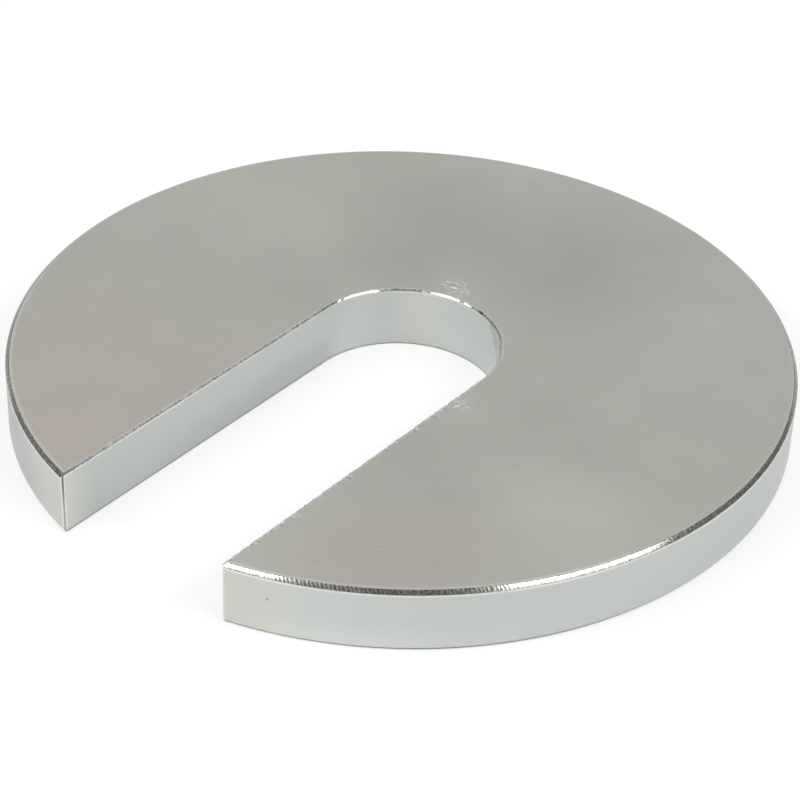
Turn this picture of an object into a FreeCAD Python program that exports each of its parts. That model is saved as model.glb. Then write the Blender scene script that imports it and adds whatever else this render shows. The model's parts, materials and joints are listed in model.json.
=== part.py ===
import FreeCAD, Part
import math
import os

# Slotted surcharge weight: one flat steel disc, turned all over, with a round-ended slot milled
# in from the rim. The slot's end is concentric with the disc, so that the weight sits centred
# on the stem that it is slipped around.
# Frame: the origin is the disc's centre on the bottom face, +Z is up, and the slot opens to -Y.

# Driving dimensions, millimetres
DISC_DIAMETER = 216.0
THICKNESS = 18.4
SLOT_WIDTH = 54.0
RIM_CHAMFER = 0.95
TOP_EDGE_BREAK = 0.4
BOTTOM_EDGE_BREAK = 0.3
MOUTH_CORNER_RADIUS = 0.6

# Sizes that follow from them
DISC_RADIUS = DISC_DIAMETER / 2
HALF_SLOT = SLOT_WIDTH / 2
OVERCUT = THICKNESS / 10
FULL_TURN = 360

UP = FreeCAD.Vector(0, 0, 1)
CENTRE = FreeCAD.Vector(0, 0, 0)


def flat_face(points):
    """Return the plane face inside a closed run of corner points."""
    return Part.Face(Part.makePolygon(points + points[:1]))


def section(outline):
    """Return the face of an outline of (x, z) pairs drawn in the upright plane y = 0."""
    return flat_face([FreeCAD.Vector(x, 0, z) for x, z in outline])


def turned_disc():
    """Return the full disc, its half section turned about the axis, chamfered at both faces."""
    half_section = [
        (0, 0),
        (DISC_RADIUS - RIM_CHAMFER, 0),
        (DISC_RADIUS, RIM_CHAMFER),
        (DISC_RADIUS, THICKNESS - RIM_CHAMFER),
        (DISC_RADIUS - RIM_CHAMFER, THICKNESS),
        (0, THICKNESS),
    ]
    return section(half_section).revolve(CENTRE, UP, FULL_TURN)


def slot_wall_outline():
    """Return one side of the slot's section: an upright wall that flares at both faces."""
    return [
        (HALF_SLOT + BOTTOM_EDGE_BREAK + OVERCUT, -OVERCUT),
        (HALF_SLOT, BOTTOM_EDGE_BREAK),
        (HALF_SLOT, THICKNESS - TOP_EDGE_BREAK),
        (HALF_SLOT + TOP_EDGE_BREAK + OVERCUT, THICKNESS + OVERCUT),
    ]


def slot_end_cut():
    """Return the round end of the slot: its wall section turned about the disc's axis."""
    wall = slot_wall_outline()
    top, bottom = wall[-1][1], wall[0][1]
    return section([(0, bottom)] + wall + [(0, top)]).revolve(CENTRE, UP, FULL_TURN)


def slot_run_cut():
    """Return the straight run of the slot, from the disc's axis out past the rim."""
    wall = slot_wall_outline()
    other_wall = [(-x, z) for x, z in reversed(wall)]
    outward = FreeCAD.Vector(0, -(DISC_RADIUS + OVERCUT), 0)
    return section(wall + other_wall).extrude(outward)


def mouth_corner_cut(side):
    """Return what rounding takes off the upright corner where one slot wall meets the rim."""
    from_axis = DISC_RADIUS - MOUTH_CORNER_RADIUS
    centre_x = HALF_SLOT + MOUTH_CORNER_RADIUS
    centre_y = -math.sqrt(from_axis ** 2 - centre_x ** 2)
    corner_y = -math.sqrt(DISC_RADIUS ** 2 - HALF_SLOT ** 2)
    reach = math.hypot(HALF_SLOT - centre_x, corner_y - centre_y)
    towards_corner = MOUTH_CORNER_RADIUS / reach
    on_rim = DISC_RADIUS / from_axis
    past_rim = (DISC_RADIUS + OVERCUT) / from_axis

    def plan_point(x, y):
        return FreeCAD.Vector(side * x, y, -OVERCUT)

    wall_tangent = plan_point(HALF_SLOT, centre_y)
    arc_middle = plan_point(centre_x + (HALF_SLOT - centre_x) * towards_corner,
                            centre_y + (corner_y - centre_y) * towards_corner)
    rim_tangent = plan_point(centre_x * on_rim, centre_y * on_rim)
    outside = [
        rim_tangent,
        plan_point(centre_x * past_rim, centre_y * past_rim),
        plan_point(HALF_SLOT - OVERCUT, centre_y * past_rim),
        plan_point(HALF_SLOT - OVERCUT, centre_y),
        wall_tangent,
    ]
    arc = Part.Arc(wall_tangent, arc_middle, rim_tangent).toShape()
    plan = Part.Face(Part.Wire(Part.makePolygon(outside).Edges + [arc]))
    return plan.extrude(UP * (THICKNESS + 2 * OVERCUT))


def slotted_weight():
    """Return the finished weight as one solid."""
    cuts = [slot_end_cut(), slot_run_cut(), mouth_corner_cut(-1), mouth_corner_cut(1)]
    return turned_disc().cut(cuts).removeSplitter()


os.makedirs("parts", exist_ok=True)
slotted_weight().exportStep("parts/slotted_weight.step")
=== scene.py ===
"""Slotted surcharge weight: a turned and plated steel disc with a milled slot, on a pale floor.

All lengths are in metres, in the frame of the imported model: the origin is the disc's centre on
the bottom face, +Z is up and the slot opens towards -Y.
"""

import json
import math

import bpy
from mathutils import Matrix, Quaternion, Vector, noise


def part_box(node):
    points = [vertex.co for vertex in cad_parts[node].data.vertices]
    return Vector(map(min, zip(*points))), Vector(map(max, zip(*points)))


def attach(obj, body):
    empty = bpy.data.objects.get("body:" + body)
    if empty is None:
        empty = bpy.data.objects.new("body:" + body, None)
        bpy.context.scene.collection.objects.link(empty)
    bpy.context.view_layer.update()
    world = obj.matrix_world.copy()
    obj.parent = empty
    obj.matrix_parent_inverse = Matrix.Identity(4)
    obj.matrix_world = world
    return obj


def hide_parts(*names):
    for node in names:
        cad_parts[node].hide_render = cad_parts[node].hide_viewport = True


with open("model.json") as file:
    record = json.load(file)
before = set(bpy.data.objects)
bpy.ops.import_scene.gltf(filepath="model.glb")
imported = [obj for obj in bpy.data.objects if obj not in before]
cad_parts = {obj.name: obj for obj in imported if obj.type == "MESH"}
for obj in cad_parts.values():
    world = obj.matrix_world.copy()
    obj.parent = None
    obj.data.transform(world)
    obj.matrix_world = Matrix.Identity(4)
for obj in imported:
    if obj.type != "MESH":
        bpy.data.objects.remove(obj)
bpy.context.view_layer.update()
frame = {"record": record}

bl_info = {
    "name": "Slotted surcharge weight",
    "version": (1, 0, 0),
    "blender": (4, 5, 0),
    "location": "3D View > Sidebar > Weight",
    "description": "Builds a turned and plated slotted weight and its studio",
    "category": "Add Mesh",
}

NODE = "slotted_weight"
MM = 0.001

low_corner, high_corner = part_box(NODE)
SEAT = next(mount for mount in frame["record"]["mounts"] if mount["name"] == "stem_seat")
SEAT_RADIUS = SEAT["dims"]["r_mm"] * MM


class WeightSizes(bpy.types.PropertyGroup):
    """Sizes of the weight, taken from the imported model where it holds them"""

    radius: bpy.props.FloatProperty(
        name="Disc radius", description="Outside radius of the turned disc",
        default=high_corner[0], unit="LENGTH", precision=5)
    thickness: bpy.props.FloatProperty(
        name="Thickness", description="Height between the two turned faces",
        default=high_corner[2] - low_corner[2], unit="LENGTH", precision=5)
    half_slot: bpy.props.FloatProperty(
        name="Half slot width", description="Half the slot's width and the radius of its round end",
        default=SEAT_RADIUS, unit="LENGTH", precision=5)
    rim_chamfer: bpy.props.FloatProperty(
        name="Rim chamfer", description="Leg of the 45 degree chamfer around both faces",
        default=1.03 * MM, unit="LENGTH", precision=5)
    top_break: bpy.props.FloatProperty(
        name="Top slot edge break", description="Leg of the filed edge along the slot's top",
        default=0.48 * MM, unit="LENGTH", precision=5)
    bottom_break: bpy.props.FloatProperty(
        name="Bottom slot edge break", description="Leg of the filed edge along the slot's bottom",
        default=0.30 * MM, unit="LENGTH", precision=5)
    mouth_round: bpy.props.FloatProperty(
        name="Mouth corner radius", description="Rounding of the upright corners at the mouth",
        default=0.60 * MM, unit="LENGTH", precision=5)


class PlatingLook(bpy.types.PropertyGroup):
    """Colours and gloss of the plated steel"""

    face_colour: bpy.props.FloatVectorProperty(
        name="Turned face", description="Colour of the plating on the two turned faces",
        default=(0.716, 0.720, 0.655), subtype="COLOR", min=0, max=1)
    warm_colour: bpy.props.FloatVectorProperty(
        name="Warm clouds", description="Colour of the warmer clouds in the faces' plating",
        default=(0.750, 0.702, 0.647), subtype="COLOR", min=0, max=1)
    rim_colour: bpy.props.FloatVectorProperty(
        name="Rim", description="Colour of the plating around the rim",
        default=(0.742, 0.780, 0.752), subtype="COLOR", min=0, max=1)
    slot_colour: bpy.props.FloatVectorProperty(
        name="Slot walls", description="Colour of the plating on the milled slot walls",
        default=(0.711, 0.750, 0.727), subtype="COLOR", min=0, max=1)
    corner_colour: bpy.props.FloatVectorProperty(
        name="Mouth corners", description="Warmer colour of the walls next to the slot's mouth",
        default=(0.800, 0.794, 0.722), subtype="COLOR", min=0, max=1)
    filed_colour: bpy.props.FloatVectorProperty(
        name="Filed edges", description="Colour of the slot's filed edges",
        default=(0.520, 0.510, 0.475), subtype="COLOR", min=0, max=1)
    edge_colour: bpy.props.FloatVectorProperty(
        name="Chamfers", description="Colour of the rim's chamfers, thinly plated",
        default=(0.370, 0.362, 0.325), subtype="COLOR", min=0, max=1)
    burnish_colour: bpy.props.FloatVectorProperty(
        name="Burnished edges", description="Colour of edges that handling has rubbed bright",
        default=(0.820, 0.825, 0.800), subtype="COLOR", min=0, max=1)
    face_roughness: bpy.props.FloatProperty(
        name="Face roughness", description="Roughness of the turned faces",
        default=0.40, subtype="FACTOR", min=0, max=1)
    rim_roughness: bpy.props.FloatProperty(
        name="Rim roughness", description="Roughness of the rim",
        default=0.22, subtype="FACTOR", min=0, max=1)
    edge_roughness: bpy.props.FloatProperty(
        name="Edge roughness", description="Roughness of the chamfers and filed edges",
        default=0.17, subtype="FACTOR", min=0, max=1)
    slot_roughness: bpy.props.FloatProperty(
        name="Slot roughness", description="Roughness of the milled slot walls",
        default=0.24, subtype="FACTOR", min=0, max=1)


class StudioLook(bpy.types.PropertyGroup):
    """Light levels of the studio"""

    room_level: bpy.props.FloatProperty(
        name="Room level", description="Brightness of the dim room above and beside the weight",
        default=0.36, min=0, max=2)
    back_level: bpy.props.FloatProperty(
        name="Back level", description="Brightness of the lit dome above and behind the weight",
        default=0.72, min=0, max=2)
    right_box: bpy.props.FloatProperty(
        name="Right softbox", description="Radiance of the softbox right of the camera",
        default=6.0, min=0)
    left_box: bpy.props.FloatProperty(
        name="Left softbox", description="Radiance of the softbox left of the camera",
        default=6.0, min=0)


# Mesh density of the weight
RIM_STEPS = 1440
CORNER_STEPS = 8
FACE_ROWS = 5
EDGE_STEPS = 4

# The share of the way along a mouth corner's arc where the slot's half of a loop meets the rim's
CORNER_MIDDLE = 0.5

# How an edge is rounded where it meets a face or a wall, in legs of its chamfer
EDGE_ROUNDING = 0.13
EDGE_SUPPORT = 0.35

# How unevenly the slot's top edge is filed: waves all along it, and on its near side finer waves
# and nicks, each with its share of the edge's width and its length
FILED_WAVE = 0.20
FILED_WAVE_LENGTH = 3.0 * MM
NEAR_WAVE = 0.60
NEAR_WAVE_LENGTH = 0.7 * MM
NICK = 1.5
NICK_LENGTH = 1.8 * MM
NICK_LEVEL = 0.15

# Places on the slot's edge where the file skipped: (angle, width, share of the break left there)
SKIPPED_EDGE = ((90.2, 0.7 * MM, 0.0), (168.0, 0.6 * MM, 0.4))

# Camera, solved from the outlines in the photograph
CAMERA_AZIMUTH = 37.219
CAMERA_ELEVATION = 34.810
CAMERA_ROLL = -2.151
CAMERA_DISTANCE = 0.6844
FOCAL_PIXELS = 2455.7
IMAGE_SIZE = 800
IMAGE_CENTRE = IMAGE_SIZE / 2
ORIGIN_PIXEL = (400.6, 397.0)
SENSOR_MM = 36.0


def between(a, b, share):
    """Return the value that lies that share of the way from a to b."""
    return a + (b - a) * share


def middles(count):
    """Return the middles of count equal shares of the way from 0 to 1."""
    return [(i + 0.5) / count for i in range(count)]


class Outline:
    """The plan of the weight where its rim and its slot wall are drawn back by given insets."""

    def __init__(self, sizes, rim_inset, slot_inset):
        self.rim = sizes.radius - rim_inset
        self.slot = sizes.half_slot + slot_inset
        self.round = sizes.mouth_round
        from_axis = self.rim - self.round
        self.corner_x = self.slot + self.round
        self.corner_y = -math.sqrt(from_axis ** 2 - self.corner_x ** 2)
        self.mouth_angle = math.atan2(self.corner_y, self.corner_x)

    def rim_point(self, share):
        """Return the point on the rim, from the right mouth corner at 0 to the left one at 1."""
        angle = between(self.mouth_angle, math.pi - self.mouth_angle, share)
        return self.rim * math.cos(angle), self.rim * math.sin(angle)

    def slot_point(self, share):
        """Return the point on the slot wall, from the right mouth corner at 0 to the left at 1."""
        wall = -self.corner_y
        bend = math.pi * self.slot
        along = share * (2 * wall + bend)
        if along < wall:
            return self.slot, along - wall
        if along > wall + bend:
            return -self.slot, wall + bend - along
        angle = (along - wall) / self.slot
        return self.slot * math.cos(angle), self.slot * math.sin(angle)

    def corner_point(self, side, share):
        """Return the point on a mouth corner's arc, from the slot wall at 0 to the rim at 1."""
        angle = between(-math.pi, self.mouth_angle, share)
        x = self.corner_x + self.round * math.cos(angle)
        return side * x, self.corner_y + self.round * math.sin(angle)


def half_loop(kind, corner_end):
    """Return where one half of every loop has its points: (kind, side, share).

    The rim's half and the slot's half are in step. Each starts and ends on a mouth corner's arc,
    between its middle and the given end.
    """
    corner = [between(CORNER_MIDDLE, corner_end, share) for share in middles(CORNER_STEPS)]
    return (
        [("corner", 1, share) for share in corner]
        + [(kind, 0, share) for share in middles(RIM_STEPS)]
        + [("corner", -1, share) for share in reversed(corner)]
    )


def rounded(start, corner, end):
    """Return points along the curve that rounds a corner."""
    points = []
    for step in range(EDGE_STEPS + 1):
        u = step / EDGE_STEPS
        points.append(tuple(
            (1 - u) ** 2 * a + 2 * u * (1 - u) * b + u ** 2 * c
            for a, b, c in zip(start, corner, end)))
    return points


def edge_profile():
    """Return an edge's section from wall to face: (inset from the wall, drop from the face).

    Both are in legs of the edge's chamfer, so one profile serves every edge.
    """
    reach = EDGE_ROUNDING
    slant = reach * math.sqrt(0.5)
    wall_side = rounded((0, 1 + reach), (0, 1), (slant, 1 - slant))
    face_side = rounded((1 - slant, slant), (1, 0), (1 + reach, 0))
    support = reach + EDGE_SUPPORT
    return [(0, 1 + support)] + wall_side + face_side + [(1 + support, 0)]


def filed_share(x, y):
    """Return how wide the slot's top edge was filed at a point, as a share of its usual width."""
    place = Vector((x, y, 0))
    share = 1 + FILED_WAVE * noise.noise(place / FILED_WAVE_LENGTH)
    if x > 0 and y < 0:
        share += NEAR_WAVE * noise.noise(place / NEAR_WAVE_LENGTH)
        share += NICK * max(0.0, noise.noise(place / NICK_LENGTH) - NICK_LEVEL)
    if y > 0:
        for angle, width, kept in SKIPPED_EDGE:
            away = abs(math.atan2(y, x) - math.radians(angle)) * math.hypot(x, y)
            share = between(kept, share, min(1.0, away / width))
    return share


def pushed_out(x, y, distance):
    """Return a point of the slot's wall moved straight away from the slot."""
    if y <= 0:
        return x + math.copysign(distance, x), y
    growth = 1 + distance / math.hypot(x, y)
    return x * growth, y * growth


def loop_points(sizes, stations, inset, drop, face_height):
    """Return one loop of points around the weight, next to the face at that height."""
    at_top = face_height > 0
    rim_leg = sizes.rim_chamfer
    slot_leg = sizes.top_break if at_top else sizes.bottom_break
    outline = Outline(sizes, inset * rim_leg, inset * slot_leg)
    points = []
    for kind, side, share in stations:
        if kind == "rim":
            x, y = outline.rim_point(share)
            leg = rim_leg
        elif kind == "slot":
            x, y = outline.slot_point(share)
            leg = slot_leg
            if at_top:
                filed = filed_share(x, y)
                x, y = pushed_out(x, y, inset * slot_leg * (filed - 1))
                leg = slot_leg * filed
        else:
            x, y = outline.corner_point(side, share)
            leg = between(slot_leg, rim_leg, share)
        height = face_height - drop * leg if at_top else drop * leg
        points.append((x, y, height))
    return points


def face_rows(points, half):
    """Return the rows of points that fill a flat face between its rim and its slot."""
    rows = []
    for row in range(1, FACE_ROWS):
        share = row / FACE_ROWS
        for i in range(half):
            rim, slot = points[i], points[-1 - i]
            rows.append(tuple(between(a, b, share) for a, b in zip(rim, slot)))
    return rows


def face_quads(loop_start, fill_start, half, upward):
    """Return the quads of a flat face, from the rim's points across its rows to the slot's."""
    def index(row, i):
        if row == 0:
            return loop_start + i
        if row == FACE_ROWS:
            return loop_start + 2 * half - 1 - i
        return fill_start + (row - 1) * half + i

    quads = []
    for row in range(FACE_ROWS):
        for i in range(half - 1):
            quad = (index(row, i), index(row, i + 1), index(row + 1, i + 1), index(row + 1, i))
            quads.append(quad if upward else quad[::-1])
    for i in (0, half - 1):
        edge = [index(row, i) for row in range(FACE_ROWS + 1)]
        quads.append(edge[::-1] if (i == 0) == upward else edge)
    return quads


# Order of the weight's materials
FACE, RIM, SLOT, EDGE = range(4)


def build_mesh(sizes):
    """Return the weight's mesh, each face marked with its material."""
    rim_half = half_loop("rim", 1.0)
    slot_half = half_loop("slot", 0.0)
    half = len(rim_half)
    stations = rim_half + slot_half[::-1]
    profile = edge_profile()
    bottom = [loop_points(sizes, stations, inset, drop, 0) for inset, drop in reversed(profile)]
    top = [loop_points(sizes, stations, inset, drop, sizes.thickness) for inset, drop in profile]
    loops = bottom + top
    rounded_spans = EDGE_STEPS + 1
    upward_order = ["wall"] * rounded_spans + ["edge"] * rounded_spans + ["face"]
    spans = upward_order[::-1] + ["wall"] + upward_order

    count = len(stations)
    points = [point for loop in loops for point in loop]
    faces = []
    finishes = []
    for level, span in enumerate(spans):
        low = level * count
        for i in range(count):
            j = (i + 1) % count
            faces.append((low + i, low + j, low + count + j, low + count + i))
            if span == "wall":
                finishes.append(RIM if i < half else SLOT)
            else:
                finishes.append(FACE if span == "face" else EDGE)
    for level, upward in ((0, False), (len(loops) - 1, True)):
        start = len(points)
        points += face_rows(loops[level], half)
        quads = face_quads(level * count, start, half, upward)
        faces += quads
        finishes += [FACE] * len(quads)
    mesh = bpy.data.meshes.new("weight_body")
    mesh.from_pydata(points, [], faces)
    mesh.polygons.foreach_set("material_index", finishes)
    mesh.polygons.foreach_set("use_smooth", [True] * len(faces))
    mesh.update()
    return mesh


# A Mix node's sockets for its two colours and for their mixture
FIRST_COLOUR, SECOND_COLOUR, MIXTURE = 6, 7, 2


class Nodes:
    """Short calls for adding and joining the nodes of one tree."""

    def __init__(self, tree):
        self.tree = tree
        tree.nodes.clear()

    def add(self, kind, **settings):
        """Add a node with the given settings."""
        node = self.tree.nodes.new(kind)
        for name, value in settings.items():
            setattr(node, name, value)
        return node

    def put(self, socket, value):
        """Link a socket to an input, or write a plain value into it."""
        if isinstance(value, bpy.types.NodeSocket):
            self.tree.links.new(value, socket)
        else:
            socket.default_value = value

    def math(self, operation, a, b=0.0):
        """Return the result of a Math node."""
        node = self.add("ShaderNodeMath", operation=operation)
        self.put(node.inputs[0], a)
        self.put(node.inputs[1], b)
        return node.outputs[0]

    def chain(self, operation, values):
        """Return what one Math operation makes of several values in turn."""
        result, *others = values
        for value in others:
            result = self.math(operation, result, value)
        return result

    def product(self, *values):
        """Return several values multiplied together."""
        return self.chain("MULTIPLY", values)

    def greatest(self, *values):
        """Return the greatest of several values."""
        return self.chain("MAXIMUM", values)

    def minus(self, a, b):
        """Return a less b."""
        return self.math("SUBTRACT", a, b)

    def off(self, value, middle):
        """Return how far a value lies from a middle, on either side of it."""
        return self.math("ABSOLUTE", self.minus(value, middle))

    def vector(self, operation, a, b=(0, 0, 0), output="Vector"):
        """Return the vector that a Vector Math node makes, or its other output, Value."""
        node = self.add("ShaderNodeVectorMath", operation=operation)
        self.put(node.inputs[0], a)
        self.put(node.inputs[1], b)
        return node.outputs[output]

    def split(self, vector):
        """Return the three parts of a vector."""
        node = self.add("ShaderNodeSeparateXYZ")
        self.put(node.inputs[0], vector)
        return node.outputs[0], node.outputs[1], node.outputs[2]

    def noise(self, place, scale, detail=2.0, dimensions="3D", socket="Vector"):
        """Return cloudy noise over a vector."""
        node = self.add("ShaderNodeTexNoise", noise_dimensions=dimensions)
        self.put(node.inputs[socket], place)
        node.inputs["Scale"].default_value = scale
        node.inputs["Detail"].default_value = detail
        return node.outputs["Fac"]

    def line_noise(self, value, scale, detail=2.0):
        """Return noise along one number."""
        return self.noise(value, scale, detail, "1D", "W")

    def ramp(self, value, start, end, low=0.0, high=1.0, unit=1.0):
        """Return a value taken from the span start to end over to low to high, and held there.

        The start and the end are in the given unit.
        """
        node = self.add("ShaderNodeMapRange")
        self.put(node.inputs["Value"], value)
        node.inputs["From Min"].default_value = start * unit
        node.inputs["From Max"].default_value = end * unit
        node.inputs["To Min"].default_value = low
        node.inputs["To Max"].default_value = high
        return node.outputs["Result"]

    def clouds(self, vector, scale, detail, *span):
        """Return cloudy noise over a vector, taken over the span that follows as ramp takes it."""
        return self.ramp(self.noise(vector, scale, detail), *span)

    def mix(self, share, a, b, label=""):
        """Return the colour that lies that share of the way from a to b."""
        node = self.add("ShaderNodeMix", data_type="RGBA", label=label)
        self.put(node.inputs["Factor"], share)
        self.put(node.inputs[FIRST_COLOUR], a)
        self.put(node.inputs[SECOND_COLOUR], b)
        return node.outputs[MIXTURE]

    def bump(self, height, distance, below=None):
        """Return the normal of a surface raised by a height times a distance."""
        node = self.add("ShaderNodeBump")
        self.put(node.inputs["Height"], height)
        node.inputs["Distance"].default_value = distance
        if below is not None:
            self.put(node.inputs["Normal"], below)
        return node.outputs["Normal"]


def object_position(nodes):
    """Return the position on the weight in its own frame."""
    return nodes.add("ShaderNodeTexCoord").outputs["Object"]


def from_axis(nodes, x, y):
    """Return the distance from the disc's axis."""
    squares = nodes.math("ADD", nodes.product(x, x), nodes.product(y, y))
    return nodes.math("SQRT", squares)


def from_place(nodes, x, y, place_x, place_y):
    """Return the distance from the upright line over a place that is given in millimetres."""
    return from_axis(nodes, nodes.minus(x, place_x * MM), nodes.minus(y, place_y * MM))


def from_slot_line(nodes, x, y):
    """Return the distance from the slot's centre line, which ends at the disc's axis."""
    return from_axis(nodes, x, nodes.math("MAXIMUM", y, 0.0))


# How far past the centre of its rounding a mouth corner's colours are centred, in roundings
CORNER_OVERHANG = 0.6


def from_mouth_corner(nodes, sizes, x, y):
    """Return the distance from the nearer upright corner of the mouth."""
    corner_y = Outline(sizes, 0, 0).corner_y - sizes.mouth_round * CORNER_OVERHANG
    across = nodes.minus(nodes.math("ABSOLUTE", x), sizes.half_slot)
    return from_axis(nodes, across, nodes.minus(y, corner_y))


def across_the_cut(nodes, position):
    """Return the direction across the turning marks, in which they spread a highlight."""
    round_the_axis = nodes.vector("CROSS_PRODUCT", (0, 0, 1), position)
    normal = nodes.add("ShaderNodeNewGeometry").outputs["Normal"]
    return nodes.vector("NORMALIZE", nodes.vector("CROSS_PRODUCT", normal, round_the_axis))


def from_oblong(nodes, position, z, x, y, turn, half_length, half_width):
    """Return the distance from an oblong's middle at a height, which is 1 at its outline.

    The height is in metres, the turn in degrees and the rest in millimetres.
    """
    place = nodes.add("ShaderNodeMapping", vector_type="TEXTURE")
    nodes.put(place.inputs["Vector"], position)
    place.inputs["Location"].default_value = (x * MM, y * MM, z)
    place.inputs["Rotation"].default_value = (0, 0, math.radians(turn))
    place.inputs["Scale"].default_value = (half_length * MM, half_width * MM, half_length * MM)
    return nodes.vector("LENGTH", place.outputs[0], output="Value")


# A mark fades from its outline in to this share of its size
MARK_CORE = 0.4


def marks(nodes, position, z, places):
    """Return how strong a small oblong mark is at a place, from 0 to 1.

    Each mark is (x, y, turn in degrees, half length, half width, strength), in millimetres, and
    all lie at one height.
    """
    found = 0.0
    for *oblong, strength in places:
        away = from_oblong(nodes, position, z, *oblong)
        found = nodes.greatest(nodes.ramp(away, 1.0, MARK_CORE, 0.0, strength), found)
    return found


def metal(nodes, colour, roughness, normal, tangent=None, anisotropy=0.0):
    """Finish a tree as plated steel."""
    shader = nodes.add("ShaderNodeBsdfPrincipled")
    shader.inputs["Metallic"].default_value = 1.0
    shader.inputs["Anisotropic"].default_value = anisotropy
    nodes.put(shader.inputs["Base Color"], colour)
    nodes.put(shader.inputs["Roughness"], roughness)
    nodes.put(shader.inputs["Normal"], normal)
    if tangent is not None:
        nodes.put(shader.inputs["Tangent"], tangent)
    output = nodes.add("ShaderNodeOutputMaterial")
    nodes.put(output.inputs["Surface"], shader.outputs[0])


def new_material(name):
    """Return an empty node material and its node helper."""
    material = bpy.data.materials.new(name)
    material.use_nodes = True
    return material, Nodes(material.node_tree)


def shade(colour, gain):
    """Return a colour with each part times a gain, as a node socket takes it."""
    return (*[part * gain for part in colour], 1.0)


def toned(nodes, share, colour, low_gain, high_gain):
    """Return a colour whose gain runs from the low one to the high one with a share."""
    return nodes.mix(share, shade(colour, low_gain), shade(colour, high_gain))


def wandering(nodes, share, roughness, wander, start=0.0, end=1.0):
    """Return a roughness that wanders to either side of its value with a share."""
    return nodes.ramp(share, start, end, roughness - wander, roughness + wander)


def where(nodes, measures, spans):
    """Return how far a place lies inside several spans at once, from 0 to 1.

    Each span is (measure, start, end) or (measure, start, end, low, high), in millimetres, as
    ramp takes it. A measure that stands alone is a share already.
    """
    shares = []
    for name, *span in spans:
        measure = measures[name]
        shares.append(nodes.ramp(measure, *span, unit=MM) if span else measure)
    return nodes.product(*shares)


def laid_over(nodes, look, measures, tones, plating):
    """Return a plating with the tones of a table laid over it in turn.

    Each tone is (name, colour of the look, gain, spans where it lies).
    """
    for name, colour, gain, *spans in tones:
        share = where(nodes, measures, spans)
        plating = nodes.mix(share, plating, shade(getattr(look, colour), gain), name)
    return plating


# Warmer patches of the top face's plating: (x, y, radius), millimetres
WARM_PATCHES = ((-48.0, -78.0, 78.0), (57.0, -80.0, 30.0), (64.0, -62.0, 16.0))

# Darker and lighter patches of the top face, partly painted shade and highlight that stand in for
# the lobes of the turned face's sheen, partly plain plating tone: (x, y, radius, gain), millimetres
SHEEN_AND_TONE_PATCHES = (
    (-17.0, 58.0, 44.0, 0.87),
    (20.0, 62.0, 40.0, 0.895),
    (52.0, 66.0, 34.0, 1.03),
    (-36.0, 14.0, 30.0, 0.93),
    (4.0, 92.0, 30.0, 0.94),
    (50.0, -23.0, 40.0, 0.93),
    (72.0, -32.0, 22.0, 1.06),
    (77.0, -60.0, 24.0, 0.965),
)

# Patches of the top face whose plating leans to another hue: (x, y, radius, gain of the colour)
TINTED_PATCHES = (
    (-36.0, -94.0, 34.0, (1.045, 1.0, 0.975)),
    (70.0, 70.0, 56.0, (0.98, 1.012, 1.035)),
    (-10.0, 100.0, 50.0, (0.98, 1.01, 1.03)),
)

# Patches fade from their radius in to this share of it
WARM_CORE = 0.2
TONE_CORE = 0.1

# Scribbled patches on the top face: (x, y, turn, half length, half width), millimetres
SCUFFED_PATCHES = ((-6.0, 31.8, 0, 4.8, 2.6), (30.8, -13.2, 0, 4.6, 3.0))

# Scratches and specks deep enough to catch the light, on the top face, as marks() takes them
DEEP_MARKS = (
    (-9.5, 33.0, 15, 0.8, 0.30, 1.0),
    (-6.2, 31.7, 9, 1.8, 0.30, 1.0),
    (-3.5, 31.6, -60, 1.0, 0.25, 0.7),
    (-2.7, 30.0, -72, 1.1, 0.25, 0.7),
    (-5.0, 29.9, 20, 0.7, 0.25, 0.6),
    (29.8, -14.6, 68, 1.7, 0.28, 0.9),
    (30.0, -11.9, 41, 0.5, 0.32, 0.9),
    (28.7, -12.8, 64, 1.2, 0.22, 0.6),
    (31.7, -12.9, 41, 0.4, 0.25, 0.8),
    (32.2, -22.7, 41, 0.3, 0.28, 0.9),
    (71.7, -31.0, 41, 0.4, 0.40, 1.0),
)

# Lighter scratches and specks on the top face, as marks() takes them
BRIGHT_MARKS = (
    (-6.2, 31.4, 9, 1.9, 0.60, 1.0),
    (-9.1, 31.0, 6, 1.5, 0.55, 0.8),
    (-3.3, 31.3, -59, 1.6, 0.50, 0.9),
    (-2.6, 29.3, -87, 1.3, 0.50, 0.7),
    (-9.2, 33.1, 26, 1.2, 0.50, 1.0),
    (-7.0, 33.8, -37, 1.3, 0.60, 0.7),
    (-5.7, 35.5, 20, 0.9, 0.50, 0.7),
    (-4.6, 34.2, -38, 0.9, 0.60, 0.8),
    (-1.8, 32.1, -49, 2.4, 0.60, 0.55),
    (-5.0, 29.9, 37, 1.0, 0.45, 0.8),
    (-5.6, 28.2, -57, 1.1, 0.80, 0.5),
    (28.8, -16.4, 41, 0.4, 0.25, 0.7),
    (32.0, -15.2, -53, 0.9, 0.18, 0.5),
    (64.3, -35.8, 41, 0.3, 0.3, 0.7),
    (73.7, -36.9, 41, 0.3, 0.3, 0.7),
    (90.6, -43.0, 32, 1.4, 0.20, 0.5),
    (52.4, -75.4, 36, 1.3, 0.20, 0.5),
    (44.3, -59.5, -51, 0.9, 0.15, 0.4),
    (32.6, -74.1, 41, 0.3, 0.25, 0.7),
    (45.2, -90.2, 41, 1.3, 0.20, 0.4),
    (-67.0, 33.3, 58, 2.1, 0.25, 0.22),
    (-29.9, 11.4, 69, 2.3, 0.25, 0.18),
)

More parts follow.
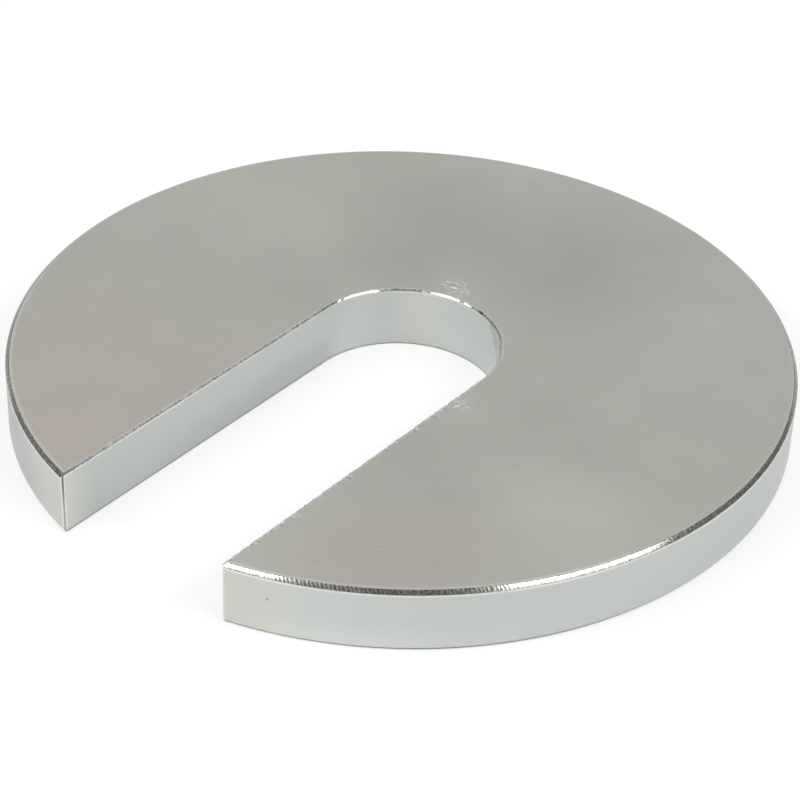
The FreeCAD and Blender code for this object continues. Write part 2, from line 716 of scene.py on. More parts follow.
# Dark specks and strokes on the top face, as marks() takes them
DARK_MARKS = (
    (-5.7, 30.5, 19, 0.8, 0.35, 0.4),
    (-5.9, 36.3, 27, 1.0, 0.30, 0.5),
    (-7.1, 32.4, 25, 2.1, 0.25, 0.8),
    (-5.8, 36.2, 41, 1.0, 0.20, 0.5),
    (29.2, -13.8, 41, 0.6, 0.25, 0.6),
    (30.9, -12.3, 21, 0.4, 0.25, 0.6),
    (28.6, -17.8, 41, 0.5, 0.25, 0.6),
    (34.8, -15.8, 62, 0.5, 0.20, 0.4),
    (59.1, -12.5, 41, 0.4, 0.30, 0.7),
    (36.6, -64.5, 41, 0.8, 0.20, 0.4),
    (38.7, -84.3, 30, 1.0, 0.20, 0.3),
    (38.7, -46.7, 41, 0.8, 0.20, 0.3),
    (31.8, -87.8, 32, 2.6, 0.15, 0.15),
)

# The pit in the rim near the front mouth corner, as marks() takes it, and its height
RIM_PIT = ((38.5, -100.9, 21, 0.6, 0.4, 1.0),)
PIT_HEIGHT = 11.2 * MM

# Strokes left on the top face where the slot's near edge was filed: how they lie, how far they
# run in from the edge, where they begin along y in millimetres, and how light and dark they are
STROKE_SLANT = 0.15
STROKE_SCALE = 850.0
STROKE_CLUMPS = 160.0
STROKE_DETAIL = 1.0
STROKE_REACH = (0.40, 0.68, 0.7 * MM, 2.4 * MM)
STROKE_FADE = 0.5
STROKES_START = (0.0, -4.0)
LIGHT_STROKES = (0.48, 0.64, 0.0, 0.8)
DARK_STROKES = (0.46, 0.34, 0.0, 0.35)


def file_strokes(nodes, sizes, x, y):
    """Return how light and how dark the file strokes are that run in from the slot's +X edge."""
    past_edge = nodes.minus(x, sizes.half_slot + 0.5 * sizes.top_break)
    along = nodes.math("ADD", y, nodes.product(x, STROKE_SLANT))
    stroke = nodes.line_noise(along, STROKE_SCALE, STROKE_DETAIL)
    reach = nodes.ramp(nodes.line_noise(y, STROKE_CLUMPS, STROKE_DETAIL), *STROKE_REACH)
    inside = nodes.product(
        nodes.ramp(nodes.minus(reach, past_edge), 0.0, STROKE_FADE, unit=MM),
        nodes.ramp(y, *STROKES_START, unit=MM),
        nodes.math("GREATER_THAN", x, 0.0))
    light = nodes.product(nodes.ramp(stroke, *LIGHT_STROKES), inside)
    dark = nodes.product(nodes.ramp(stroke, *DARK_STROKES), inside)
    return light, dark


# The scuffs' scribble: its noise, how far off its middle level a line fades, and its strength
SCRIBBLE_SCALE = 520.0
SCRIBBLE_DETAIL = 1.0
SCRIBBLE_LEVEL = 0.5
SCRIBBLE_LINE = (0.045, 0.010)
SCUFF_FADE = (1.0, 0.5, 0.0, 0.8)


def scuff_lines(nodes, sizes, position):
    """Return how strong the scribbled scuff lines are, inside their patches."""
    scribble = nodes.noise(position, SCRIBBLE_SCALE, SCRIBBLE_DETAIL)
    lines = nodes.ramp(nodes.off(scribble, SCRIBBLE_LEVEL), *SCRIBBLE_LINE)
    patch = 0.0
    for oblong in SCUFFED_PATCHES:
        away = from_oblong(nodes, position, sizes.thickness, *oblong)
        patch = nodes.greatest(nodes.ramp(away, *SCUFF_FADE), patch)
    return nodes.product(lines, patch)


# Stretches of the rim where the front chamfer mirrors a softbox, along which the face's and the
# rim's
# edges get a painted highlight: how each fades in and out along x, millimetres
LIT_ARCS = (((20.0, 27.0), (45.5, 42.5)), ((84.0, 87.0), (101.0, 98.0)))


def lit_arcs(nodes, x, y):
    """Return 1 along the two stretches of the rim where the chamfer mirrors a softbox."""
    arcs = [
        nodes.product(nodes.ramp(x, *start, unit=MM), nodes.ramp(x, *end, unit=MM))
        for start, end in LIT_ARCS
    ]
    return nodes.product(nodes.greatest(*arcs), nodes.math("LESS_THAN", y, 0.0))


# Clouds of each finish, as clouds() takes them, and the gains that its plating runs between
FACE_CLOUDS = (55.0, 3.0, 0.3, 0.7)
FACE_GAINS = (0.98, 1.02)
WARM_STREAKS = (25.0, 2.0, 0.35, 0.65, 0.55, 1.1)
RIM_CLOUDS = (32.0, 2.0, 0.35, 0.65)
RIM_GAINS = (0.975, 1.03)
SLOT_CLOUDS = (60.0, 2.0, 0.3, 0.7)
SLOT_GAINS = (0.95, 1.05)

# How far the gloss of each finish wanders to either side of its roughness
FACE_WANDER = 0.02
RIM_WANDER = 0.02
SLOT_WANDER = 0.03
EDGE_WANDER = 0.03

# Turning marks: fine rings, deeper ones that show as arcs where the plating is thin, and how
# strongly they spread the gloss into a fan
RING_SCALE = 1400.0
RING_LEVELS = (0.3, 0.7)
RING_DEPTH = 0.006 * MM
DEEP_RING_SCALE = 420.0
DEEP_RING_LEVELS = (0.70, 0.76)
DEEP_RING_PLACES = (28.0, 2.0, 0.56, 0.66)
DEEP_RING_SHINE = 0.10
FAN_OF_GLOSS = 0.7

# Handling marks: how deep they are cut, the share of it that thin scratches have, how much
# smoother they are than the face, and how dark the dark ones are
MARK_DEPTH = 0.15 * MM
SCRATCH_SHARE = 0.65
MARK_GLOSS = 0.15
DARK_SHARE = 0.7

# Where handling has worn the turned face's edges, as where() takes it
WORN_EDGES = (("edge", 0.7, 0.1, 0.0, 0.6), ("x", -30.0, -60.0, 1.0, 1.5))
WORN_FRONT = (("rim_edge", 1.2, 0.3, 0.0, 0.75), ("y", -20.0, -50.0))

# Tones of the turned face, as laid_over() takes them
FACE_TONES = (
    ("deep rings", "burnish_colour", 1.0, ("deep_rings",)),
    ("light marks", "burnish_colour", 1.2, ("scored",)),
    ("dark marks", "edge_colour", 1.0, ("dark",)),
    ("worn edges", "burnish_colour", 1.12, ("worn",)),
    # Painted highlight: glare beside the chamfer where it mirrors a softbox
    ("painted glare on front edge", "burnish_colour", 1.22, ("rim_edge", 0.55, 0.30), ("lit",)),
)


def face_plating(nodes, look, position, x, y):
    """Return the turned faces' cloudy plating, with its warmer and tinted patches and patches of
    painted sheen.
    """
    warm = 0.0
    for patch_x, patch_y, radius in WARM_PATCHES:
        away = from_place(nodes, x, y, patch_x, patch_y)
        warm = nodes.greatest(nodes.ramp(away, radius, WARM_CORE * radius, unit=MM), warm)
    warm = nodes.product(warm, nodes.clouds(position, *WARM_STREAKS))
    cloud = nodes.clouds(position, *FACE_CLOUDS)
    cool_plating = toned(nodes, cloud, look.face_colour, *FACE_GAINS)
    warm_plating = toned(nodes, cloud, look.warm_colour, *FACE_GAINS)
    plating = nodes.mix(warm, cool_plating, warm_plating, "warm patches")
    # Painted shade and highlight of the sheen's lobes, laid on with the plain tone and tint patches
    sheen_and_tone_patches = [(*place, (gain, gain, gain)) for *place, gain in SHEEN_AND_TONE_PATCHES]
    for patch_x, patch_y, radius, gain in (*sheen_and_tone_patches, *TINTED_PATCHES):
        away = from_place(nodes, x, y, patch_x, patch_y)
        inside = nodes.ramp(away, radius, TONE_CORE * radius, unit=MM)
        plating = nodes.mix(inside, plating, nodes.vector("MULTIPLY", plating, gain))
    return plating


def turned_face_material(sizes, look):
    """The turned faces: fine rings, a fan of gloss across them, cloudy plating with painted sheen
    and glare, handling marks.
    """
    material, nodes = new_material("turned_face")
    position = object_position(nodes)
    x, y, _ = nodes.split(position)
    distance = from_axis(nodes, x, y)
    rings = nodes.line_noise(distance, RING_SCALE)
    deep_ring = nodes.ramp(nodes.line_noise(distance, DEEP_RING_SCALE, 0.0), *DEEP_RING_LEVELS)
    deep_rings = nodes.product(deep_ring, nodes.clouds(position, *DEEP_RING_PLACES))

    deep = marks(nodes, position, sizes.thickness, DEEP_MARKS)
    bright = marks(nodes, position, sizes.thickness, BRIGHT_MARKS)
    dark = marks(nodes, position, sizes.thickness, DARK_MARKS)
    filed, filed_dark = file_strokes(nodes, sizes, x, y)
    scratched = nodes.greatest(filed, scuff_lines(nodes, sizes, position))
    scored = nodes.greatest(bright, scratched, deep)
    cut = nodes.greatest(nodes.product(scratched, SCRATCH_SHARE), deep)

    rim_edge = nodes.minus(sizes.radius - sizes.rim_chamfer, distance)
    slot_edge = nodes.minus(from_slot_line(nodes, x, y), sizes.half_slot + sizes.top_break)
    edge = nodes.math("MINIMUM", rim_edge, slot_edge)
    edges = {"x": x, "y": y, "rim_edge": rim_edge, "edge": edge}
    worn = nodes.greatest(where(nodes, edges, WORN_EDGES), where(nodes, edges, WORN_FRONT))
    measures = {
        "deep_rings": nodes.product(deep_rings, DEEP_RING_SHINE),
        "scored": scored,
        "dark": nodes.greatest(nodes.product(dark, DARK_SHARE), filed_dark),
        "worn": worn,
        "rim_edge": rim_edge,
        "lit": lit_arcs(nodes, x, y),
    }
    plating = face_plating(nodes, look, position, x, y)
    plating = laid_over(nodes, look, measures, FACE_TONES, plating)

    roughness = wandering(nodes, rings, look.face_roughness, FACE_WANDER, *RING_LEVELS)
    roughness = nodes.minus(roughness, nodes.product(scored, MARK_GLOSS))
    normal = nodes.bump(nodes.minus(rings, deep_rings), RING_DEPTH)
    normal = nodes.bump(cut, MARK_DEPTH, normal)
    metal(nodes, plating, roughness, normal, across_the_cut(nodes, position), FAN_OF_GLOSS)
    return material


# Where a wall is rubbed below its upper edge and carries a painted highlight of that rounded edge,
# as where() takes it, and how that breaks up into beads, as clouds() takes it
RUBBED_AND_HIGHLIGHT_EDGE = ("below_edge", 0.85, 0.35, 0.0, 0.9)
RIM_BEADS = (700.0, 2.0, 0.35, 0.6, 0.5, 1.0)
SLOT_BEADS = (500.0, 2.0, 0.35, 0.6, 0.3, 1.0)

# The upright corners of the mouth: rubbed bright with a painted highlight, and a painted shade line
# down the middle where the rounded corner mirrors the dark room
MOUTH_CORNER_TONES = (
    ("rubbed and painted highlight corner", "burnish_colour", 1.16, ("corner", 0.95, 0.60, 0.0, 0.85)),
    ("painted shade corner line", "edge_colour", 0.55,
        ("corner", 0.34, 0.27, 0.0, 0.95), ("z", 8.0, 15.0, 0.6, 1.0)),
)

# Tones of the rim and of the slot's walls, as laid_over() takes them
RIM_TONES = (
    # Painted shade: the rim's left part darker, standing in for the darker surroundings it mirrors
    ("painted shade left part", "rim_colour", 0.81, ("x", -34.0, -60.0)),
    ("duller right end", "rim_colour", 0.95, ("x", 50.0, 75.0)),
    # Painted reflection: the rim's low front part lighter, standing in for the lit floor it mirrors
    ("painted floor reflection on low part", "rim_colour", 1.13,
        ("z", 9.0, 3.0), ("x", 20.0, 30.0), ("x", 40.0, 90.0, 0.9, 0.2)),
    ("warmer mouth corner", "corner_colour", 1.0, ("corner", 25.0, 2.5, 0.0, 0.9)),
    # Partly painted highlight: the rubbed band also stands in for the light its rounded edge
    # catches
    ("rubbed upper edge with painted highlight", "burnish_colour", 1.18, RUBBED_AND_HIGHLIGHT_EDGE, ("beads",)),
    *MOUTH_CORNER_TONES,
    # Painted highlight: glare below the chamfer where it mirrors a softbox
    ("painted glare on upper edge", "burnish_colour", 1.22, ("below_edge", 0.65, 0.40), ("lit",)),
    # Painted shadow: a dark line along the wall's foot, where it meets the floor
    ("painted contact shadow line", "edge_colour", 1.0, ("above_foot", 0.45, 0.0), ("x", 68.0, 90.0, 0.0, 0.5)),
    ("pit", "edge_colour", 0.9, ("pit",)),
)
SLOT_TONES = (
    ("straight walls", "slot_colour", 0.90, ("y", 6.0, -12.0, 0.0, 0.6)),
    # Painted shade: the straight walls darker low down, standing in for the floor's shadow they
    # mirror
    ("painted reflected shadow low on walls", "slot_colour", 0.88, ("reflected_shadow_height", 10.0, 4.0), ("y", -70.0, -45.0), ("y", 8.0, -4.0)),
    ("round end", "slot_colour", 0.93, ("y", 0.0, 10.0, 0.0, 0.6)),
    # Painted reflection: the round end lighter low down, standing in for the lit floor it mirrors
    ("painted floor reflection on low end", "slot_colour", 1.06,
        ("z", 11.0, 4.0, 0.0, 0.9), ("off_grey", 3.0, 8.0), ("y", 0.0, 6.0)),
    ("grey band", "slot_colour", 0.87,
        ("z", 5.0, 10.0, 0.0, 0.6), ("off_grey", 8.0, 3.0), ("y", 5.0, 15.0)),
    ("warm band", "corner_colour", 0.93, ("off_warm", 8.0, 2.0, 0.0, 0.6), ("y", 5.0, 15.0)),
    ("warmer mouth corner", "corner_colour", 1.0, ("corner", 11.0, 1.1, 0.0, 0.9)),
    # Partly painted highlight: the rubbed band also stands in for the light its rounded edge
    # catches
    ("rubbed upper edge with painted highlight", "burnish_colour", 1.18,
        RUBBED_AND_HIGHLIGHT_EDGE, ("beads",), ("y", -60.0, -20.0, 1.0, 0.5)),
    *MOUTH_CORNER_TONES,
    # Painted shadow: a dark line along the wall's foot, where it meets the floor
    ("painted contact shadow line", "edge_colour", 0.8, ("above_foot", 0.45, 0.0), ("y", 10.0, -5.0, 0.3, 0.8)),
)


def wall_measures(nodes, sizes, position, top_leg, bottom_leg, beads):
    """Return what a wall's tones lie by: its place, its corners, its edges and its beads."""
    x, y, z = nodes.split(position)
    return {
        "x": x,
        "y": y,
        "z": z,
        "corner": from_mouth_corner(nodes, sizes, x, y),
        "below_edge": nodes.minus(sizes.thickness - top_leg, z),
        "above_foot": nodes.minus(z, bottom_leg),
        "beads": nodes.clouds(position, *beads),
    }


# The rim's clouds are drawn out upwards. It has fine turning lines, and the pit is stained.
RIM_STRETCH = (1, 1, 0.4)
RIM_LINES = 3000.0
RIM_LINE_DEPTH = 0.004 * MM
PIT_STAIN = 0.6
PIT_DEPTH = 0.06 * MM


def turned_rim_material(sizes, look):
    """The rim: smooth bright plating with soft clouds, one pit, a rubbed upper edge with a painted
    highlight, and painted shade and reflections.
    """
    material, nodes = new_material("turned_rim")
    position = object_position(nodes)
    leg = sizes.rim_chamfer
    measures = wall_measures(nodes, sizes, position, leg, leg, RIM_BEADS)
    pit = marks(nodes, position, PIT_HEIGHT, RIM_PIT)
    measures["pit"] = nodes.product(pit, PIT_STAIN)
    measures["lit"] = lit_arcs(nodes, measures["x"], measures["y"])
    cloud = nodes.clouds(nodes.vector("MULTIPLY", position, RIM_STRETCH), *RIM_CLOUDS)
    plating = toned(nodes, cloud, look.rim_colour, *RIM_GAINS)
    plating = laid_over(nodes, look, measures, RIM_TONES, plating)
    normal = nodes.bump(nodes.line_noise(measures["z"], RIM_LINES), RIM_LINE_DEPTH)
    normal = nodes.bump(nodes.product(pit, -1.0), PIT_DEPTH, normal)
    metal(nodes, plating, wandering(nodes, cloud, look.rim_roughness, RIM_WANDER), normal)
    return material


# Where a warmer and a greyer band of plating stand on the slot's end wall: their x, millimetres
WARM_BAND = -12.0
GREY_BAND = -18.0

# How the upper limit of the painted reflected shadow wanders, as clouds() takes it
REFLECTED_SHADOW_LIMIT = (45.0, 2.0, 0.3, 0.7, -3 * MM, 3 * MM)

# The slot's walls wave a little, drawn out upwards, and are smoother round the end: where that
# begins and is full along y, millimetres, and the share of the roughness that is left there
SLOT_STRETCH = (1, 1, 0.35)
SLOT_WAVES = 90.0
SLOT_WAVE_DEPTH = 0.05 * MM
SMOOTH_END = (4.0, 16.0)
END_ROUGHNESS = 0.45


def milled_slot_material(sizes, look):
    """The slot's walls: soft upright bands from the cutter, cloudy plating, and painted reflections
    of the floor and its shadow.
    """
    material, nodes = new_material("milled_slot")
    position = object_position(nodes)
    legs = (sizes.top_break, sizes.bottom_break)
    measures = wall_measures(nodes, sizes, position, *legs, SLOT_BEADS)
    # Height below which the painted reflected shadow lies on the walls
    limit = nodes.clouds(position, *REFLECTED_SHADOW_LIMIT)
    measures["reflected_shadow_height"] = nodes.math("ADD", measures["z"], limit)
    measures["off_grey"] = nodes.off(measures["x"], GREY_BAND * MM)
    measures["off_warm"] = nodes.off(measures["x"], WARM_BAND * MM)
    stretched = nodes.vector("MULTIPLY", position, SLOT_STRETCH)
    cloud = nodes.clouds(stretched, *SLOT_CLOUDS)
    plating = toned(nodes, cloud, look.slot_colour, *SLOT_GAINS)
    plating = laid_over(nodes, look, measures, SLOT_TONES, plating)
    normal = nodes.bump(nodes.noise(stretched, SLOT_WAVES), SLOT_WAVE_DEPTH)
    levels = (look.slot_roughness, END_ROUGHNESS * look.slot_roughness)
    smoother = nodes.ramp(measures["y"], *SMOOTH_END, *levels, unit=MM)
    wander = wandering(nodes, cloud, 0.0, SLOT_WANDER)
    metal(nodes, plating, nodes.math("ADD", smoother, wander), normal)
    return material


# Chatter on the chamfers, worst over one part of the rim: the angle of its middle, and how it
# fades out to either side, as ramp takes it in degrees
CHATTER_MARKS = 646
CHATTER_SLANT = 3300.0
CHATTER_DEPTH = 0.0042 * MM
CHATTER_MIDDLE = -52.5
CHATTER_SPREAD = (18.0, 15.5, 0.2, 1.0)

# How the chatter wanders out of step and comes and goes round the rim
CHATTER_DRIFT_SCALE = 40.0
CHATTER_DRIFT = 5.0
CHATTER_SWELL_SCALE = 70.0
CHATTER_SWELL_DETAIL = 3.0
CHATTER_SWELL = (0.35, 0.65, 0.3, 1.1)

# The chatter shows as light and dark teeth away from this angle: a painted highlight on the teeth
# that stands in for the softbox they mirror
TEETH_MIDDLE = -49.0
TEETH_SPREAD = (4.0, 12.0, 0.0, 0.8)
TEETH_LEVELS = (-0.3, 0.5)
TEETH_HIGHLIGHT_GAIN = 2.4

# Mottling of the cut edges: its clouds, how much painted light and shade along the chatter marks
# mixes in, and the gains it spans
EDGE_CLOUDS = (1900.0, 2.0, 0.40, 0.60)
CLOUD_SHARE = 0.9
CHATTER_SHADING_SHARE = 0.25
EDGE_GAINS = (0.55, 1.55)

# Fine grain and file lines in the cut edges
FINE_GRAIN = 1500.0
FINE_GRAIN_DEPTH = 0.003 * MM
FILE_LINES = 9000.0
FILE_LINE_DEPTH = 0.006 * MM

# The middle of the better filed stretch between the two glints on the slot's round end, how it
# fades out, in degrees, and the gains outside it and in it
GLINT_GAP = 130.0
GAP_SPREAD = (20.0, 14.0)
GAP_GAINS = (1.0, 1.5)

# A dark burr on the slot's top edge; the cut edges at the mouth's corners get painted shade that
# carries on their dark line. How both fade out, millimetres
BURR_PLACE = (7.3, 26.5)
CORNER_SHADE_AND_BURR_FADE = (1.1, 0.7)
CORNER_SHADE_AND_BURR_GAIN = 0.4

# Edges that belong to the slot lie this close outside its wall, millimetres
SLOT_EDGE_REACH = (1.6, 1.0)

# The slot's near edge ends along y here, millimetres, and is an even tone brighter
NEAR_EDGE_END = (22.0, 14.0)
NEAR_EDGE_GAIN = 1.15

# The rim's chamfer turns lighter to the left along x, millimetres
LEFT_CHAMFER = (-24.0, -34.0)
LEFT_CHAMFER_GAINS = (1.0, 1.3)

# Gains of the chamfers on the bottom face; the slot's are darkened as painted shade along its foot
LOWER_RIM_GAIN = 0.95
LOWER_SLOT_SHADE_GAIN = 0.6

# Tones of the filed edges and of the rim's chamfer, as laid_over() takes them
FILED_TONES = (
    ("far edge", "burnish_colour", 0.95, ("y", -1.0, -9.0), ("y", -100.0, -78.0, 0.2, 1.0)),
    ("near edge", "burnish_colour", 0.95, ("near_side",)),
)
# Painted shade: the chamfer's left end darker, where it mirrors the dark room
CHAMFER_TONES = (("painted shade left end", "edge_colour", 0.7, ("x", -66.0, -76.0)),)

WHITE = (1, 1, 1)
DEGREE = math.radians(1)


def cut_edge_material(sizes, look):
    """The chamfers and filed edges: thin dark plating over chatter marks from the tool, with
    painted light and shade along the chatter.
    """
    material, nodes = new_material("cut_edges")
    position = object_position(nodes)
    x, y, z = nodes.split(position)
    angle = nodes.math("ARCTAN2", y, x)
    off_chatter = nodes.off(angle, CHATTER_MIDDLE * DEGREE)
    off_teeth = nodes.off(angle, TEETH_MIDDLE * DEGREE)
    off_gap = nodes.off(angle, GLINT_GAP * DEGREE)

    slant = nodes.product(z, CHATTER_SLANT)
    drift = nodes.product(nodes.line_noise(angle, CHATTER_DRIFT_SCALE), CHATTER_DRIFT)
    phase = nodes.chain("ADD", (nodes.product(angle, CHATTER_MARKS), slant, drift))
    swell = nodes.line_noise(angle, CHATTER_SWELL_SCALE, CHATTER_SWELL_DETAIL)
    rough_part = nodes.ramp(off_chatter, *CHATTER_SPREAD, unit=DEGREE)
    strength = nodes.product(nodes.ramp(swell, *CHATTER_SWELL), rough_part)
    wave = nodes.product(nodes.math("SINE", phase), strength)

    off_wall = nodes.minus(from_slot_line(nodes, x, y), sizes.half_slot)
    in_slot = nodes.ramp(off_wall, *SLOT_EDGE_REACH, unit=MM)
    near_side = nodes.product(
        nodes.math("GREATER_THAN", x, 0.0), nodes.ramp(y, *NEAR_EDGE_END, unit=MM))
    cloud = nodes.product(nodes.clouds(position, *EDGE_CLOUDS), CLOUD_SHARE)
    # Painted light and shade along the chatter marks
    cloud = nodes.math("ADD", cloud, nodes.product(wave, CHATTER_SHADING_SHARE))
    tone = toned(nodes, cloud, WHITE, *EDGE_GAINS)
    # Painted highlight on the chatter's teeth
    where_teeth = nodes.ramp(off_teeth, *TEETH_SPREAD, unit=DEGREE)
    teeth_highlight = nodes.product(nodes.ramp(wave, *TEETH_LEVELS), rough_part, where_teeth)
    tone = nodes.mix(teeth_highlight, tone, shade(WHITE, TEETH_HIGHLIGHT_GAIN), "teeth_highlight")
    # Painted shade at the mouth's corners, and a dark burr
    burr = from_place(nodes, x, y, *BURR_PLACE)
    corner_or_burr = nodes.math("MINIMUM", from_mouth_corner(nodes, sizes, x, y), burr)
    corner_shade_and_burr = nodes.ramp(corner_or_burr, *CORNER_SHADE_AND_BURR_FADE, unit=MM)
    tone = nodes.mix(corner_shade_and_burr, tone, shade(WHITE, CORNER_SHADE_AND_BURR_GAIN), "corner_shade_and_burr")
    near_edge = nodes.product(near_side, in_slot)
    tone = nodes.mix(near_edge, tone, shade(WHITE, NEAR_EDGE_GAIN), "near edge")

    measures = {"x": x, "y": y, "near_side": near_side}
    in_gap = nodes.ramp(off_gap, *GAP_SPREAD, unit=DEGREE)
    filed = toned(nodes, in_gap, look.filed_colour, *GAP_GAINS)
    filed = laid_over(nodes, look, measures, FILED_TONES, filed)
    to_the_left = nodes.ramp(x, *LEFT_CHAMFER, unit=MM)
    turned = toned(nodes, to_the_left, look.edge_colour, *LEFT_CHAMFER_GAINS)
    turned = laid_over(nodes, look, measures, CHAMFER_TONES, turned)
    lower_rim = shade(look.rim_colour, LOWER_RIM_GAIN)
    # The slot's bottom breaks are darkened as painted shade
    lower_slot_shade = shade(look.slot_colour, LOWER_SLOT_SHADE_GAIN)
    lower = nodes.math("LESS_THAN", z, 0.5 * sizes.thickness)
    plating = nodes.mix(in_slot, turned, filed)
    plating = nodes.mix(lower, plating, nodes.mix(in_slot, lower_rim, lower_slot_shade))
    plating = nodes.vector("MULTIPLY", plating, tone)

    normal = nodes.bump(nodes.product(wave, nodes.minus(1.0, in_slot)), CHATTER_DEPTH)
    normal = nodes.bump(nodes.noise(position, FINE_GRAIN), FINE_GRAIN_DEPTH, normal)
    normal = nodes.bump(nodes.line_noise(z, FILE_LINES), FILE_LINE_DEPTH, normal)
    metal(nodes, plating, wandering(nodes, cloud, look.edge_roughness, EDGE_WANDER), normal)
    return material


# The floor's glow as the camera and as gloss sees it, its matt colour and how far it reaches
FLOOR_GLOW_SEEN = 0.62
FLOOR_GLOW_MIRRORED = 0.37
FLOOR_COLOUR = (0.5, 0.5, 0.5, 1.0)
FLOOR_REACH = 8.0

# The floor is dark under the weight: how far inside its rim and outside its slot's wall that
# ends, and how far it fades, in millimetres
RIM_OVERHANG = 1.0
SLOT_OVERHANG = 0.25
DARK_FADE = (0.0, 0.3)


def floor_material(sizes):
    """A matt pale floor, white where it is lit, with the weight's shadow and dark beneath it."""
    material, nodes = new_material("studio_floor")
    x, y, _ = nodes.split(object_position(nodes))
    past_foot = nodes.minus(from_axis(nodes, x, y), sizes.radius - RIM_OVERHANG * MM)
    slot_foot = sizes.half_slot + SLOT_OVERHANG * MM
    into_slot = nodes.minus(slot_foot, from_slot_line(nodes, x, y))
    open_floor = nodes.ramp(nodes.greatest(past_foot, into_slot), *DARK_FADE, unit=MM)
    path = nodes.add("ShaderNodeLightPath")
    mirrored = nodes.greatest(path.outputs["Is Glossy Ray"], path.outputs["Is Transmission Ray"])
    mirrored = nodes.product(mirrored, FLOOR_GLOW_MIRRORED)
    seen = nodes.product(path.outputs["Is Camera Ray"], FLOOR_GLOW_SEEN)
    matt = nodes.add("ShaderNodeBsdfDiffuse")
    matt.inputs["Color"].default_value = FLOOR_COLOUR
    glow = nodes.add("ShaderNodeEmission")
    strength = nodes.product(nodes.greatest(seen, mirrored), open_floor)
    nodes.put(glow.inputs["Strength"], strength)
    both = nodes.add("ShaderNodeAddShader")
    nodes.put(both.inputs[0], matt.outputs[0])
    nodes.put(both.inputs[1], glow.outputs[0])
    output = nodes.add("ShaderNodeOutputMaterial")
    nodes.put(output.inputs["Surface"], both.outputs[0])
    return material


# Heights of a ray, as a share of its length, between which the white horizon turns into the room
HORIZON_TOP = 0.03
ROOM_BOTTOM = 0.12

# The lit dome above and behind the weight: where its middle stands, in degrees, and how it
# fades out around it, as cosines of the angle from there
BACK_AZIMUTH = 180
BACK_ELEVATION = 60
BACK_EDGE = 0.50
BACK_MIDDLE = 0.72


def light_the_room(studio):
    """White to the camera all round; to everything else a dim room with a lit dome behind."""
    world = bpy.data.worlds.new("studio_room")
    bpy.context.scene.world = world
    world.use_nodes = True
    nodes = Nodes(world.node_tree)
    direction = nodes.add("ShaderNodeTexCoord").outputs["Generated"]
    _, _, z = nodes.split(direction)
    middle = direction_from_camera(BACK_AZIMUTH, BACK_ELEVATION)
    towards_back = nodes.vector("DOT_PRODUCT", direction, middle, "Value")
    room = nodes.ramp(
        towards_back, BACK_EDGE, BACK_MIDDLE, studio.room_level, studio.back_level)
    horizon = nodes.ramp(z, HORIZON_TOP, ROOM_BOTTOM, 1.0, 0.0)
    path = nodes.add("ShaderNodeLightPath")
    level = nodes.greatest(room, horizon, path.outputs["Is Camera Ray"])
    background = nodes.add("ShaderNodeBackground")
    nodes.put(background.inputs["Strength"], level)
    output = nodes.add("ShaderNodeOutputWorld")
    nodes.put(output.inputs["Surface"], background.outputs[0])


def direction_from_camera(azimuth, elevation):
    """Return the unit vector at an angle right of the camera's own side and above the floor."""
    a = math.radians(CAMERA_AZIMUTH + azimuth)
    e = math.radians(elevation)
    return Vector((math.sin(a) * math.cos(e), -math.cos(a) * math.cos(e), math.sin(e)))


# The softboxes: both at one height and distance, each leaning down towards the back
SOFTBOX_ELEVATION = 46
SOFTBOX_DISTANCE = 4.0
SOFTBOX_LEAN = 22

# Each softbox: (degrees right of the camera's side, width, height)
RIGHT_SOFTBOX = (61, 2.4, 0.95)
LEFT_SOFTBOX = (-63.5, 2.5, 0.95)


def softbox(name, azimuth, width, height, radiance):
    """Add a rectangular softbox that faces the weight."""
    data = bpy.data.lights.new(name, "AREA")
    data.shape = "RECTANGLE"
    data.size = width
    data.size_y = height
    data.energy = radiance * math.pi * width * height
    lamp = bpy.data.objects.new(name, data)
    bpy.context.collection.objects.link(lamp)
    place = direction_from_camera(azimuth, SOFTBOX_ELEVATION)
    lamp.location = place * SOFTBOX_DISTANCE
    lean = math.copysign(math.radians(SOFTBOX_LEAN), -azimuth)
    upright = place.to_track_quat("Z", "Y")
    lamp.rotation_euler = (upright @ Quaternion((0, 0, 1), lean)).to_euler()
    lamp.visible_camera = False


def place_camera():
    """Add the camera at the photograph's viewing angle, with the disc's centre at its pixel."""
    azimuth = math.radians(CAMERA_AZIMUTH)
    roll = math.radians(CAMERA_ROLL)
    back = direction_from_camera(0, CAMERA_ELEVATION)
    side = Vector((math.cos(azimuth), math.sin(azimuth), 0))
    top = back.cross(side)
    right = math.cos(roll) * side - math.sin(roll) * top
    up = math.sin(roll) * side + math.cos(roll) * top
    at_origin = Matrix((right, up, back)).transposed()
    offset = Vector((
        (ORIGIN_PIXEL[0] - IMAGE_CENTRE) / FOCAL_PIXELS,
        -(ORIGIN_PIXEL[1] - IMAGE_CENTRE) / FOCAL_PIXELS,
        -1.0,
    ))
    turn = Vector((0, 0, -1)).rotation_difference(offset).to_matrix()
    data = bpy.data.cameras.new("camera")
    data.sensor_width = SENSOR_MM
    data.lens = FOCAL_PIXELS / IMAGE_SIZE * SENSOR_MM
    camera = bpy.data.objects.new("camera", data)
    bpy.context.collection.objects.link(camera)
    stand = Matrix.Translation(back * CAMERA_DISTANCE)
    camera.matrix_world = stand @ (at_origin @ turn.transposed()).to_4x4()
    bpy.context.scene.camera = camera


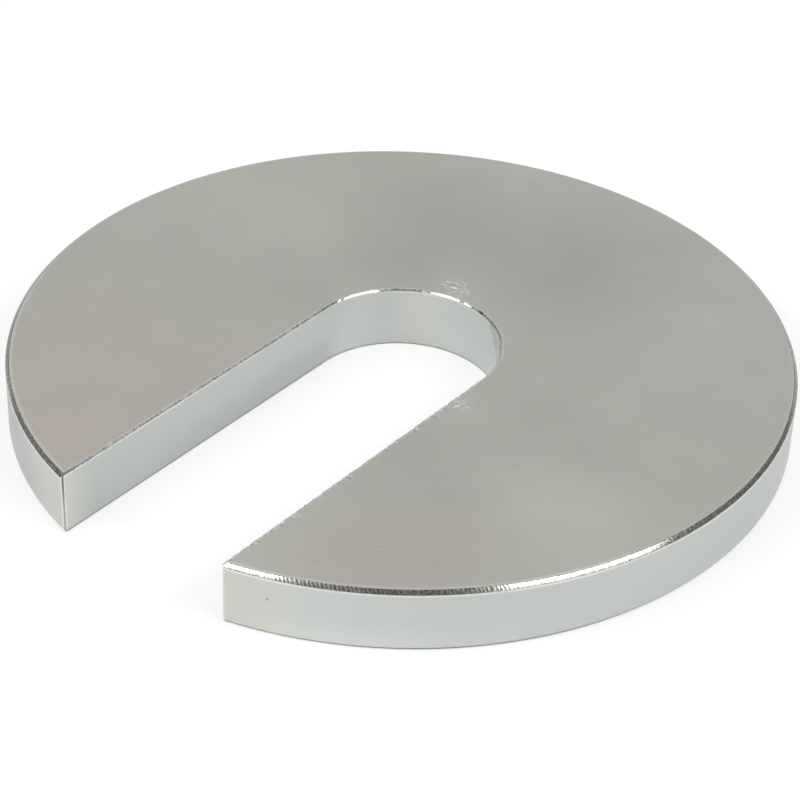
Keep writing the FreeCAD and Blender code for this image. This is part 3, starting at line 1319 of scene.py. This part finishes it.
class WEIGHT_OT_build_body(bpy.types.Operator):
    """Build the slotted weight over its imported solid"""

    bl_idname = "weight.build_body"
    bl_label = "Build the weight"

    def execute(self, context):
        sizes = context.scene.weight_sizes
        look = context.scene.plating_look
        body = bpy.data.objects.new("weight_body", build_mesh(sizes))
        context.collection.objects.link(body)
        finishes = (
            turned_face_material, turned_rim_material, milled_slot_material, cut_edge_material)
        for finish in finishes:
            body.data.materials.append(finish(sizes, look))
        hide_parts(NODE)
        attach(body, "root")
        return {"FINISHED"}


class WEIGHT_OT_build_stage(bpy.types.Operator):
    """Lay the pale floor, set the softboxes and stand the camera where the photographer stood"""

    bl_idname = "weight.build_stage"
    bl_label = "Build the studio"

    def execute(self, context):
        studio = context.scene.studio_look
        mesh = bpy.data.meshes.new("studio_floor")
        corners = [(-1, -1), (1, -1), (1, 1), (-1, 1)]
        points = [(x * FLOOR_REACH, y * FLOOR_REACH, 0) for x, y in corners]
        mesh.from_pydata(points, [], [(0, 1, 2, 3)])
        floor = bpy.data.objects.new("studio_floor", mesh)
        context.collection.objects.link(floor)
        mesh.materials.append(floor_material(context.scene.weight_sizes))
        light_the_room(studio)
        softbox("right_softbox", *RIGHT_SOFTBOX, studio.right_box)
        softbox("left_softbox", *LEFT_SOFTBOX, studio.left_box)
        place_camera()
        context.scene.view_settings.view_transform = "Standard"
        return {"FINISHED"}


class WEIGHT_PT_builder(bpy.types.Panel):
    """Lists the steps that build the weight and its studio"""

    bl_idname = "WEIGHT_PT_builder"
    bl_label = "Slotted weight"
    bl_space_type = "VIEW_3D"
    bl_region_type = "UI"
    bl_category = "Weight"

    def draw(self, context):
        for step in STEPS:
            self.layout.operator(step.bl_idname)


STEPS = (WEIGHT_OT_build_body, WEIGHT_OT_build_stage)
GROUPS = {"weight_sizes": WeightSizes, "plating_look": PlatingLook, "studio_look": StudioLook}
CLASSES = (*GROUPS.values(), *STEPS, WEIGHT_PT_builder)


def register():
    """Make the weight's settings, operators and panel known to Blender"""
    for cls in CLASSES:
        bpy.utils.register_class(cls)
    for name, group in GROUPS.items():
        setattr(bpy.types.Scene, name, bpy.props.PointerProperty(type=group))


def unregister():
    """Take them away again"""
    for name in GROUPS:
        delattr(bpy.types.Scene, name)
    for cls in reversed(CLASSES):
        bpy.utils.unregister_class(cls)


def main():
    """Build the weight and its studio"""
    register()
    bpy.ops.weight.build_body()
    bpy.ops.weight.build_stage()


if __name__ == "__main__":
    main()
